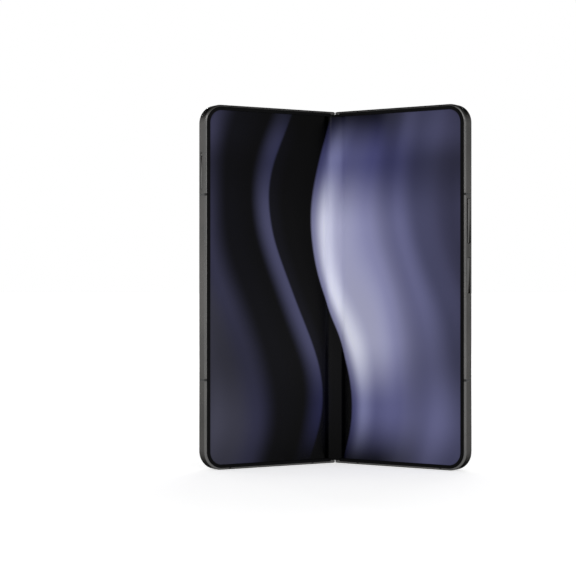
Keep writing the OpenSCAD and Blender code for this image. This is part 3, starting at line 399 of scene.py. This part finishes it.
screen_picture = silk_picture()
for side, half in HALVES:
    sheet_x = np.repeat(columns[:, None], 2 * SCREEN_ROWS, 1)
    sheet_y = np.repeat([[0.0] * SCREEN_ROWS + [SCREEN_T] * SCREEN_ROWS], len(columns), 0)
    sheet_z = np.concatenate([front, front[:, ::-1]], 1)
    screen = skin("folding_screen_" + half, rolled(sheet_x, sheet_y, sheet_z, side)[:, ::side], around=True)
    across_both = 0.5 + side * sheet_x[:, ::side] / (2 * HALF_WIDTH)
    corner = np.empty(len(screen.data.loops), np.int32)
    screen.data.loops.foreach_get("vertex_index", corner)
    uv = np.stack([across_both.ravel()[corner], sheet_z[:, ::side].ravel()[corner] / HEIGHT], -1)
    screen.data.uv_layers.new(name="screen").data.foreach_set("uv", uv.ravel())
    screen.data.materials.append(screen_picture)
    smoothed(screen, 40)
    roll_with_hinge(screen)
    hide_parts(half + "_side_screen", "screen_bend")

backing_plate = finish("backing_plate", {"Metallic": 1.0, "Base Color": tint("9a9b9d")})
drift(backing_plate, "Roughness", 200, 0.3, 0.42)
grain(backing_plate, 6000, 0.00002, 0.3)
for half in ("camera", "cover"):
    dress(half + "_side_backing", backing_plate)

# ---------------------------------------------------------------- screen rim
# A soft black plastic rim, moulded and bonded round each half, covers the edge of the screen and
# keeps the two sides apart when the phone is shut. It stops short of the hinge.
RIM_IN, RIM_WIDE, RIM_HIGH = 0.8, 1.5, 0.4
RIM_FROM, RIM_TIP, TIP_STEPS = 2.7, 0.5, 8


def along_half(start, steps):
    """The outline of a half from the hinge, out along the bottom, up its side and back along the
    top, with its outward normals: three straight runs joined by two quarter circles."""
    run = np.linspace(0, 1, steps)
    arc = np.linspace(0, np.pi / 2, 25)[1:-1]
    x1, r = HALF_WIDTH - CORNER_R, CORNER_R
    straight = start + (x1 - start) * run
    side_up = r + (HEIGHT - 2 * r) * run
    low_x, high_x = x1 + r * np.sin(arc), x1 + r * np.cos(arc)
    low_z, high_z = r - r * np.cos(arc), HEIGHT - r + r * np.sin(arc)
    x = np.concatenate([straight, low_x, np.full(steps, HALF_WIDTH), high_x, straight[::-1]])
    z = np.concatenate([0 * run, low_z, side_up, high_z, 0 * run + HEIGHT])
    nx = np.concatenate([0 * run, np.sin(arc), 0 * run + 1, np.cos(arc), 0 * run])
    nz = np.concatenate([0 * run - 1, -np.cos(arc), 0 * run, np.sin(arc), 0 * run + 1])
    return x, z, nx, nz


def close_rows(made):
    """Closes the first and last row where each has shrunk to one point, and turns the faces out."""
    shape = bmesh.new()
    shape.from_mesh(made.data)
    bmesh.ops.remove_doubles(shape, verts=shape.verts, dist=1e-7)
    bmesh.ops.recalc_face_normals(shape, faces=shape.faces)
    shape.to_mesh(made.data)
    shape.free()


rim_plastic = finish("rim_plastic", {"Base Color": tint("060607"), "Specular IOR Level": 0.06})
drift(rim_plastic, "Roughness", 400, 0.40, 0.55)
grain(rim_plastic, 16000, 0.00001, 0.35)
for side, half in HALVES:
    # The rim's section is a superellipse. Over RIM_TIP at both ends it shrinks to a point, as a
    # quarter circle does.
    x, z, nx, nz = along_half(RIM_FROM + RIM_TIP, 24)
    tip = np.linspace(0, np.pi / 2, TIP_STEPS + 1)[:-1]
    tip_x = RIM_FROM + RIM_TIP * (1 - np.cos(tip))
    x = np.concatenate([tip_x, x, tip_x[::-1]])
    z, nx, nz = (np.pad(v, TIP_STEPS, mode="edge") for v in (z, nx, nz))
    share = np.concatenate([np.sin(tip), np.ones(len(x) - 2 * TIP_STEPS), np.sin(tip[::-1])])[:, None]
    angle = np.linspace(0, 2 * np.pi, 20, endpoint=False)
    wide = np.sign(np.cos(angle)) * np.abs(np.cos(angle)) ** 0.35 * RIM_WIDE / 2
    high = np.sign(np.sin(angle)) * np.abs(np.sin(angle)) ** 0.5 * RIM_HIGH / 2
    inward = RIM_IN + RIM_WIDE / 2 - wide[None, :] * share
    rim_x, rim_z = x[:, None] - nx[:, None] * inward, z[:, None] - nz[:, None] * inward
    rim_y = -RIM_HIGH / 2 - high[None, :] * share
    rim = skin(half + "_side_rim", on_half(rim_x, rim_y, rim_z, side), around=True)
    close_rows(rim)
    rim.data.materials.append(rim_plastic)
    rim.data.shade_smooth()
    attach(rim, half + "_half")
    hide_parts(half + "_side_bezel")

# ---------------------------------------------------------------- back glass
# The camera half has a sheet of chemically strengthened glass, ground to a fine satin and coated
# pearl white behind. The cover half has glass over a black screen that is switched off, with a
# small camera looking out through it. Both are glued into a step in the rail and ground round.
satin_coat = {"Specular IOR Level": 0.5, "Coat Weight": 0.25, "Coat Roughness": 0.12}
satin_white = finish("satin_white_glass", satin_coat)
two_tone(satin_white, 2600, "dddddf", "e2e2e4", detail=1)
drift(satin_white, "Roughness", 2600, 0.27, 0.31)
grain(satin_white, 14000, 0.000006, 0.3)
eased("rear_glass", 0.18, satin_white, segments=3)

black_glass = finish("black_glass", {"Specular IOR Level": 0.3})
drift(black_glass, "Roughness", 25, 0.035, 0.06)
glass_place = wire(black_glass, "TexCoord").outputs["Object"]
COVER_CAMERA_X, COVER_CAMERA_Z, EYE_REACH = 34.475, 147.4, 0.0025
eye_at = tuple(on_half(COVER_CAMERA_X, HALF_T, COVER_CAMERA_Z, -1))
from_eye = wire(black_glass, "VectorMath", {0: glass_place, 1: eye_at}, operation="DISTANCE").outputs["Value"]
eye_share = wire(black_glass, "Math", {0: from_eye, 1: 1 / EYE_REACH}, operation="MULTIPLY")
eye = wire(black_glass, "ValToRGB", {"Fac": eye_share})
# From the middle outwards: the lens, its paler edge, black ink, a thin grey ring, and the glass. The lens's
# dark blue is a painted reflection of its coating.
eye_stops = [
    (0.0, "10183a"), (0.22, "0a0f26"), (0.27, "17171c"), (0.33, "030304"),
    (0.68, "040405"), (0.74, "26262b"), (0.80, "26262b"), (0.84, "040406"),
]
fill_ramp(eye, eye_stops)
feed(black_glass, "Base Color", eye)
eased("cover_glass", 0.18, black_glass, segments=3)

# ---------------------------------------------------------------- rear cameras
# A raised island milled from the same aluminium holds three cameras. Each sits under a window in a
# turned ring with a bright cut edge, and looks out through a stepped black cone. The windows are
# thin and coated, so that nearly all light passes straight through and a little is reflected.
ISLAND_X, LENS_Z = 49.15, (140.2, 124.6, 109.0)
LATHE_STEPS = 96


def lathe(name, r, y, z0):
    """A surface turned round an axis square to the camera half's back, at height z0 on the island's
    middle line. The profile's radius and depth, in millimetres, are carried round a full circle."""
    spin = np.linspace(0, 2 * np.pi, LATHE_STEPS, endpoint=False)[None, :]
    r, y = np.asarray(r, float)[:, None], np.asarray(y, float)[:, None]
    made = skin(name, on_half(ISLAND_X + r * np.cos(spin), y, z0 + r * np.sin(spin), 1), around=True)
    close_rows(made)
    return made


def joined(name, pieces):
    """One piece made of several meshes, each with its own finish."""
    shape = bmesh.new()
    mesh = bpy.data.meshes.new(name)
    for number, (piece, material) in enumerate(pieces):
        before = len(shape.faces)
        shape.from_mesh(piece.data)
        shape.faces.ensure_lookup_table()
        for face in shape.faces[before:]:
            face.material_index = number
        mesh.materials.append(material)
        bpy.data.objects.remove(piece)
    shape.to_mesh(mesh)
    shape.free()
    made = bpy.data.objects.new(name, mesh)
    bpy.context.scene.collection.objects.link(made)
    return made


island_metal = finish("island_metal", {"Metallic": 1.0, "Specular Tint": tint("303030")})
two_tone(island_metal, 60, "474542", "514f4b")
drift(island_metal, "Roughness", 80, 0.28, 0.36)
grain(island_metal, 11000, 0.00002, 0.25)
eased("camera_island", 0.3, island_metal, segments=3)

cut_metal = finish("cut_ring_metal", {"Metallic": 1.0, "Base Color": tint("9b9893"), "Anisotropic": 0.4})
drift(cut_metal, "Roughness", 120, 0.09, 0.15)
ring_r = [6.28, 6.28, 6.22, 6.10, 5.92, 5.80, 5.62, 5.61, 5.61, 6.28]
ring_y = [7.02, 8.05, 8.19, 8.28, 8.30, 8.28, 8.12, 8.05, 7.02, 7.02]
rings = [(lathe("ring", ring_r, ring_y, z), cut_metal) for z in LENS_Z]
lens_rings = joined("turned_lens_rings", rings)
smoothed(lens_rings, 35)
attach(lens_rings, "camera_half")
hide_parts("lens_rings")

window_glass = {"Base Color": tint("e8ecff"), "Metallic": 1.0, "Alpha": 0.004, "Roughness": 0.0}
lens_glass = finish("lens_window_glass", window_glass)
ink = {"Base Color": tint("030304"), "Roughness": 0.12, "Specular IOR Level": 0.03}
mask_ink = finish("lens_mask_ink", ink)
blue_coat = {"Base Color": tint("030409"), "Roughness": 0.03, "Specular IOR Level": 0.42}
coated_lens = finish("coated_lens", {**blue_coat, "Specular Tint": tint("a9b2ff")})
cone_black = finish("lens_cone_black", {"Base Color": tint("040405"), "Specular IOR Level": 0.16})
drift(cone_black, "Roughness", 900, 0.26, 0.32)
CONE_STEPS = 5
windows, masks, cones, holders, eyes = [], [], [], [], []
for z, barrel in zip(LENS_Z, (3.9, 4.9, 3.7)):
    window_r, window_y = [0, 5.45, 5.56, 5.58, 5.56, 0], [8.04, 8.04, 8.01, 7.95, 7.64, 7.64]
    windows.append((lathe("window", window_r, window_y, z), lens_glass))
    mask_r, mask_y = [barrel - 0.9, barrel - 0.9, 5.56, 5.56, barrel - 0.9], [7.62, 7.56, 7.56, 7.62, 7.62]
    masks.append((lathe("mask", mask_r, mask_y, z), mask_ink))
    # Five steps with rounded lips narrow the cone from its mouth down to the front lens.
    step = np.repeat(np.arange(CONE_STEPS), 4)
    lip_r = np.tile([0.0, 0.0, -0.05, -0.19], CONE_STEPS)
    lip_y = np.tile([0.0, -0.09, -0.13, -0.13], CONE_STEPS)
    mouth = barrel - 0.82
    cone_r = np.concatenate([[mouth], barrel - 0.86 - 0.19 * step + lip_r, [mouth, mouth]])
    cone_y = np.concatenate([[7.38], 7.36 - 0.13 * step + lip_y, [6.71, 7.38]])
    cones.append((lathe("cone", cone_r, cone_y, z), cone_black))
    # The front lens is a shallow dome in a domed black holder, whose lip stands a little above it.
    holder = barrel - 1.86
    dome = np.linspace(0, np.pi / 2, 16)
    eye_r = np.concatenate([0.6 * holder * np.sin(dome), [0.6 * holder, 0]])
    eye_y = np.concatenate([6.30 + 0.32 * np.cos(dome), [6.1, 6.1]])
    eyes.append((lathe("eye", eye_r, eye_y, z), coated_lens))
    holder_r = holder * np.array([0.58, 0.58, 0.62, 0.68, 0.84, 1.0, 1.0, 0.58])
    holder_y = [6.1, 6.62, 6.68, 6.66, 6.54, 6.34, 6.02, 6.1]
    holders.append((lathe("holder", holder_r, holder_y, z), cone_black))
lens_window_set = joined("lens_window_set", windows)
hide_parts("lens_windows")
for made in (
    lens_window_set,
    joined("lens_masks", masks),
    joined("lens_cones", cones),
    joined("lens_holders", holders),
    joined("front_lenses", eyes),
):
    smoothed(made, 35)
    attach(made, "camera_half")

barrel_plastic = finish("barrel_plastic", {"Base Color": tint("131316"), "Specular IOR Level": 0.35})
drift(barrel_plastic, "Roughness", 500, 0.32, 0.46)
grain(barrel_plastic, 15000, 0.00001, 0.3)
for node in ("wide_camera", "ultra_wide_camera", "telephoto_camera", "cover_camera", "under_screen_camera"):
    dress(node, barrel_plastic)

# ---------------------------------------------------------------- flash
# A small milky plastic window beside the island covers a yellow phosphor chip. Fine rings are
# moulded on the inside of the window, so that it spreads the light.
flash_plastic = finish("flash_plastic", {"Roughness": 0.24, "Specular IOR Level": 0.4})
flash_place = wire(flash_plastic, "TexCoord").outputs["Object"]
FLASH_X = 35.55
flash_centre = tuple(on_half(FLASH_X, HALF_T, LENS_Z[0], 1))
centre_away = wire(flash_plastic, "VectorMath", {0: flash_place, 1: flash_centre}, operation="DISTANCE")
from_centre = centre_away.outputs["Value"]
core_edge = {"From Min": 0.0003, "From Max": 0.0014}
lit_core = wire(flash_plastic, "MapRange", {"Value": from_centre, **core_edge})
lit_core.interpolation_type = "SMOOTHSTEP"
mixed(flash_plastic, "Base Color", lit_core, "ead9a6", "f1eee6")


def wound(material, distance, rate, strength, deep):
    """Raises round ridges about a centre: the sine of rate times the distance from it, with rate in
    radians a metre."""
    swing = wire(material, "Math", {0: distance, 1: rate}, operation="MULTIPLY")
    ridge = wire(material, "Math", {0: swing}, operation="SINE")
    bump = wire(material, "Bump", {"Height": ridge, "Strength": strength, "Distance": deep})
    feed(material, "Normal", bump)


wound(flash_plastic, from_centre, 19000.0, 0.8, 0.00006)
eased("flash_window", 0.12, flash_plastic)
phosphor = finish("led_phosphor", {"Base Color": tint("e9c65b"), "Roughness": 0.6})
two_tone(phosphor, 2500, "e2b84a", "f0d675")
dress("flash_led", phosphor)

# ---------------------------------------------------------------- keys and tray
# The keys and the card tray's face are cut from the rail's own alloy and anodised with it, so only
# their eased edges and running gaps show. They are a little smoother than the rail.
key_metal = finish("key_metal", {"Metallic": 1.0, "Specular Tint": tint("303030")})
two_tone(key_metal, 70, "5a5a59", "646362")
drift(key_metal, "Roughness", 150, 0.20, 0.27)
grain(key_metal, 9000, 0.00002, 0.2)
eased("volume_key", 0.16, key_metal)
eased("power_key", 0.16, key_metal)
eased("card_tray", 0.08, key_metal)

# ---------------------------------------------------------------- ports
# The charging port is a drawn steel shell with a black moulded tongue that carries gold contacts.
# Fine woven steel keeps dust out behind the loudspeaker slots.
port_steel = finish("port_steel", {"Metallic": 1.0, "Base Color": tint("a9abad")})
drift(port_steel, "Roughness", 400, 0.22, 0.34)
grain(port_steel, 8000, 0.00001, 0.3)
dress("charging_port", port_steel)


def blocks(name, low, high, side):
    """Many blocks as one mesh, from arrays of their lowest and highest corners in a flat half."""
    low, high = np.atleast_2d(low).astype(float), np.atleast_2d(high).astype(float)
    pick = np.array([(i >> 2 & 1, i >> 1 & 1, i & 1) for i in range(8)])[None]
    corner = np.where(pick == 1, high[:, None, :], low[:, None, :])
    points = on_half(corner[..., 0], corner[..., 1], corner[..., 2], side).reshape(-1, 3)
    sides = np.array([(0, 1, 3, 2), (4, 6, 7, 5), (0, 4, 5, 1), (2, 3, 7, 6), (0, 2, 6, 4), (1, 5, 7, 3)])
    faces = (sides[None] + 8 * np.arange(len(low))[:, None, None]).reshape(-1, 4)
    mesh = bpy.data.meshes.new(name)
    mesh.from_pydata(points.tolist(), [], faces.tolist())
    made = bpy.data.objects.new(name, mesh)
    bpy.context.scene.collection.objects.link(made)
    close_rows(made)
    return made


PORT_X, MID_Y = 32.0, 3.05
tongue_plastic = finish("tongue_plastic", {"Base Color": tint("141416"), "Specular IOR Level": 0.4})
drift(tongue_plastic, "Roughness", 900, 0.3, 0.42)
gold = finish("contact_gold", {"Metallic": 1.0, "Base Color": tint("d9b25f")})
drift(gold, "Roughness", 2000, 0.16, 0.26)
tongue_low, tongue_high = [PORT_X - 3.4, MID_Y - 0.38, 1.95], [PORT_X + 3.4, MID_Y + 0.38, 6.7]
sleeve = blocks("tongue_sleeve", tongue_low, tongue_high, 1)
CONTACTS, CONTACT_W, CONTACT_T = 12, 0.26, 0.04
contact_x = np.tile(PORT_X - 2.9 + np.arange(CONTACTS) * 5.8 / (CONTACTS - 1), 2)
contact_y = np.repeat([MID_Y - 0.40, MID_Y + 0.36], CONTACTS)
contact_low = np.stack([contact_x - CONTACT_W / 2, contact_y, 0 * contact_x + 2.3], -1)
contact_high = np.stack([contact_x + CONTACT_W / 2, contact_y + CONTACT_T, 0 * contact_x + 6.2], -1)
pins = blocks("tongue_contacts", contact_low, contact_high, 1)
tongue = joined("port_tongue", [(sleeve, tongue_plastic), (pins, gold)])
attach(tongue, "camera_half")

dust_mesh = finish("dust_mesh", {"Metallic": 1.0})
# The openings of the weave are painted near black: painted shade where the weave lets one see into the phone.
mesh_place = wire(dust_mesh, "TexCoord").outputs["Object"]
weave = {"Vector": mesh_place, "Scale": 4200.0, "Randomness": 0.0}
hole_away = wire(dust_mesh, "TexVoronoi", weave, feature="F1").outputs["Distance"]
painted_hole_shade = wire(dust_mesh, "MapRange", {"Value": hole_away, "From Min": 0.3, "From Max": 0.42})
mixed(dust_mesh, "Base Color", painted_hole_shade, "08080a", "4a4a4c")
drift(dust_mesh, "Roughness", 3000, 0.4, 0.5)
for side, half, x0, x1, z in ((1, "camera", 37.8, 52.2, 2.28), (-1, "cover", 25.0, 39.2, HEIGHT - 2.4)):
    screen_mesh = blocks(half + "_dust_mesh", [x0, 2.0, z], [x1, 4.1, z + 0.12], side)
    screen_mesh.data.materials.append(dust_mesh)
    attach(screen_mesh, half + "_half")

# ---------------------------------------------------------------- hinge
# The spine is an extruded aluminium cover with moulded caps. Inside it two steel brackets guide the
# curved rails of the arms; small sintered gears keep the halves turning together, and stacks of
# spring washers on the gear shafts hold any angle. Wing plates and a centre strip back the screen.
spine_metal = finish("spine_metal", {"Metallic": 1.0, "Specular Tint": tint("303030")})
two_tone(spine_metal, 30, "5a5957", "646361")
drift(spine_metal, "Roughness", 60, 0.26, 0.34)
grain(spine_metal, 9000, 0.00002, 0.25)
dress("spine_cover", spine_metal)
cap_plastic = finish("cap_plastic", {"Base Color": tint("2f2e2d"), "Specular IOR Level": 0.35})
drift(cap_plastic, "Roughness", 500, 0.42, 0.55)
grain(cap_plastic, 12000, 0.00002, 0.3)
dress("spine_end_caps", cap_plastic)


def steel(name, colour, rough_low, rough_high, mark=7000, deep=0.00002):
    """Bare steel with the fine marks of its making."""
    made = finish(name, {"Metallic": 1.0, "Base Color": tint(colour)})
    drift(made, "Roughness", 350, rough_low, rough_high)
    grain(made, mark, deep, 0.3)
    return made


sintered = steel("sintered_steel", "8b8a88", 0.38, 0.5, 14000, 0.00003)
cast = steel("cast_bracket_steel", "77767a", 0.4, 0.52, 6000, 0.00004)
spring = steel("spring_steel", "8f8270", 0.25, 0.36)
bright = steel("bright_screw_steel", "c4c4c6", 0.2, 0.3)
rolled_plate = steel("rolled_plate_steel", "9fa0a2", 0.26, 0.36, 5000)
for half in ("camera", "cover"):
    dress(half + "_side_hinge_arms", sintered)
    dress(half + "_side_idlers", sintered)
    dress(half + "_arm_screws", bright)
    dress(half + "_half_screws", bright)
    dress(half + "_side_wing", rolled_plate)
for node, material in (
    ("upper_hinge_bracket", cast),
    ("lower_hinge_bracket", cast),
    ("friction_washers", spring),
    ("bracket_screws", bright),
    ("shaft_nuts", bright),
    ("key_switches", bright),
    ("centre_support_plate", rolled_plate),
):
    dress(node, material)

# ---------------------------------------------------------------- flat cables
# Two printed cables of amber film with copper tracks pass through slots in the hinge and bend with
# the screen as the phone moves.
amber_film = finish("amber_film", {"Specular IOR Level": 0.5})
film_place = wire(amber_film, "UVMap", uv_map="cable")
lengthwise = {"wave_type": "BANDS", "bands_direction": "Y", "wave_profile": "SIN"}
track = wire(amber_film, "TexWave", {"Vector": film_place, "Scale": 4.0}, **lengthwise)
track_edge = wire(amber_film, "MapRange", {"Value": track.outputs["Fac"], "From Min": 0.45, "From Max": 0.6})
mixed(amber_film, "Base Color", track_edge, "7d4f16", "c27a34")
film_gloss = wire(amber_film, "MapRange", {"Value": track_edge, "To Min": 0.32, "To Max": 0.24})
feed(amber_film, "Roughness", film_gloss)
track_bump = wire(amber_film, "Bump", {"Height": track_edge, "Strength": 0.4, "Distance": 0.00001})
feed(amber_film, "Normal", track_bump)
CABLE_Y, CABLE_T, CABLE_WIDE, CABLE_LONG, CABLE_UP = 1.6, 0.15, 16.0, 9.0, 26
CABLE_STEPS, CABLE_ROWS = 49, 17
for side, half in HALVES:
    for level, z0 in (("low", HEIGHT / 2 - CABLE_UP), ("high", HEIGHT / 2 + CABLE_UP)):
        out = np.linspace(0, CABLE_LONG, CABLE_STEPS)
        strip_x = np.repeat(out[:, None], 2 * CABLE_ROWS, 1)
        strip_y = np.repeat([[CABLE_Y] * CABLE_ROWS + [CABLE_Y + CABLE_T] * CABLE_ROWS], CABLE_STEPS, 0)
        over = np.linspace(-0.5, 0.5, CABLE_ROWS) * CABLE_WIDE
        strip_z = np.repeat([np.concatenate([over, over[::-1]]) + z0], CABLE_STEPS, 0)
        points = rolled(strip_x, strip_y, strip_z, side)[:, ::side]
        cable = skin(f"{half}_flat_cable_{level}", points, around=True)
        corner = np.empty(len(cable.data.loops), np.int32)
        cable.data.loops.foreach_get("vertex_index", corner)
        uv_long = strip_x[:, ::side].ravel()[corner] / CABLE_LONG
        uv_wide = (strip_z[:, ::side].ravel()[corner] - z0) / CABLE_WIDE + 0.5
        uv = np.stack([uv_long, uv_wide], -1)
        cable.data.uv_layers.new(name="cable").data.foreach_set("uv", uv.ravel())
        cable.data.materials.append(amber_film)
        smoothed(cable, 40)
        roll_with_hinge(cable)
        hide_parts("hinge_flex_cables")

# ---------------------------------------------------------------- inside
# Boards, batteries and small modules are screwed or glued to the middle plate of each half. The
# boards are green laminate under tinned cans, the batteries film pouches, and the coil is copper.
board = finish("board_laminate", {"Specular IOR Level": 0.5})
two_tone(board, 900, "173d2b", "24573e", detail=4)
drift(board, "Roughness", 1200, 0.34, 0.5)
grain(board, 3500, 0.00005, 0.4)
tinned = steel("tinned_can", "b9bbbe", 0.2, 0.3, 2500, 0.00001)
pouch = finish("battery_pouch", {"Base Color": tint("26282c"), "Specular IOR Level": 0.5})
drift(pouch, "Roughness", 90, 0.28, 0.42)
grain(pouch, 700, 0.0001, 0.25)
copper = finish("wound_copper", {"Metallic": 1.0, "Base Color": tint("b87333")})
COIL_X, COIL_Y, COIL_Z = 36.36, 5.0, 52.45
coil_place = wire(copper, "TexCoord").outputs["Object"]
coil_centre = tuple(on_half(COIL_X, COIL_Y, COIL_Z, 1))
coil_away = wire(copper, "VectorMath", {0: coil_place, 1: coil_centre}, operation="DISTANCE")
wound(copper, coil_away.outputs["Value"], 9000.0, 0.7, 0.0001)
drift(copper, "Roughness", 500, 0.24, 0.36)
module_plastic = finish("module_plastic", {"Base Color": tint("222326"), "Specular IOR Level": 0.4})
drift(module_plastic, "Roughness", 400, 0.38, 0.52)
grain(module_plastic, 9000, 0.00002, 0.3)
panel = finish("panel_back", {"Base Color": tint("16161a"), "Specular IOR Level": 0.4})
drift(panel, "Roughness", 150, 0.25, 0.4)
grain(panel, 4000, 0.00001, 0.3)
for material, nodes in (
    (board, ("main_board", "sub_board")),
    (tinned, ("main_board_shields", "sub_board_shields", "card_reader", "haptic_motor")),
    (pouch, ("camera_half_battery", "cover_half_battery")),
    (copper, ("charging_coil",)),
    (module_plastic, ("loudspeaker", "earpiece")),
    (panel, ("cover_screen_panel",)),
):
    for node in nodes:
        dress(node, material)
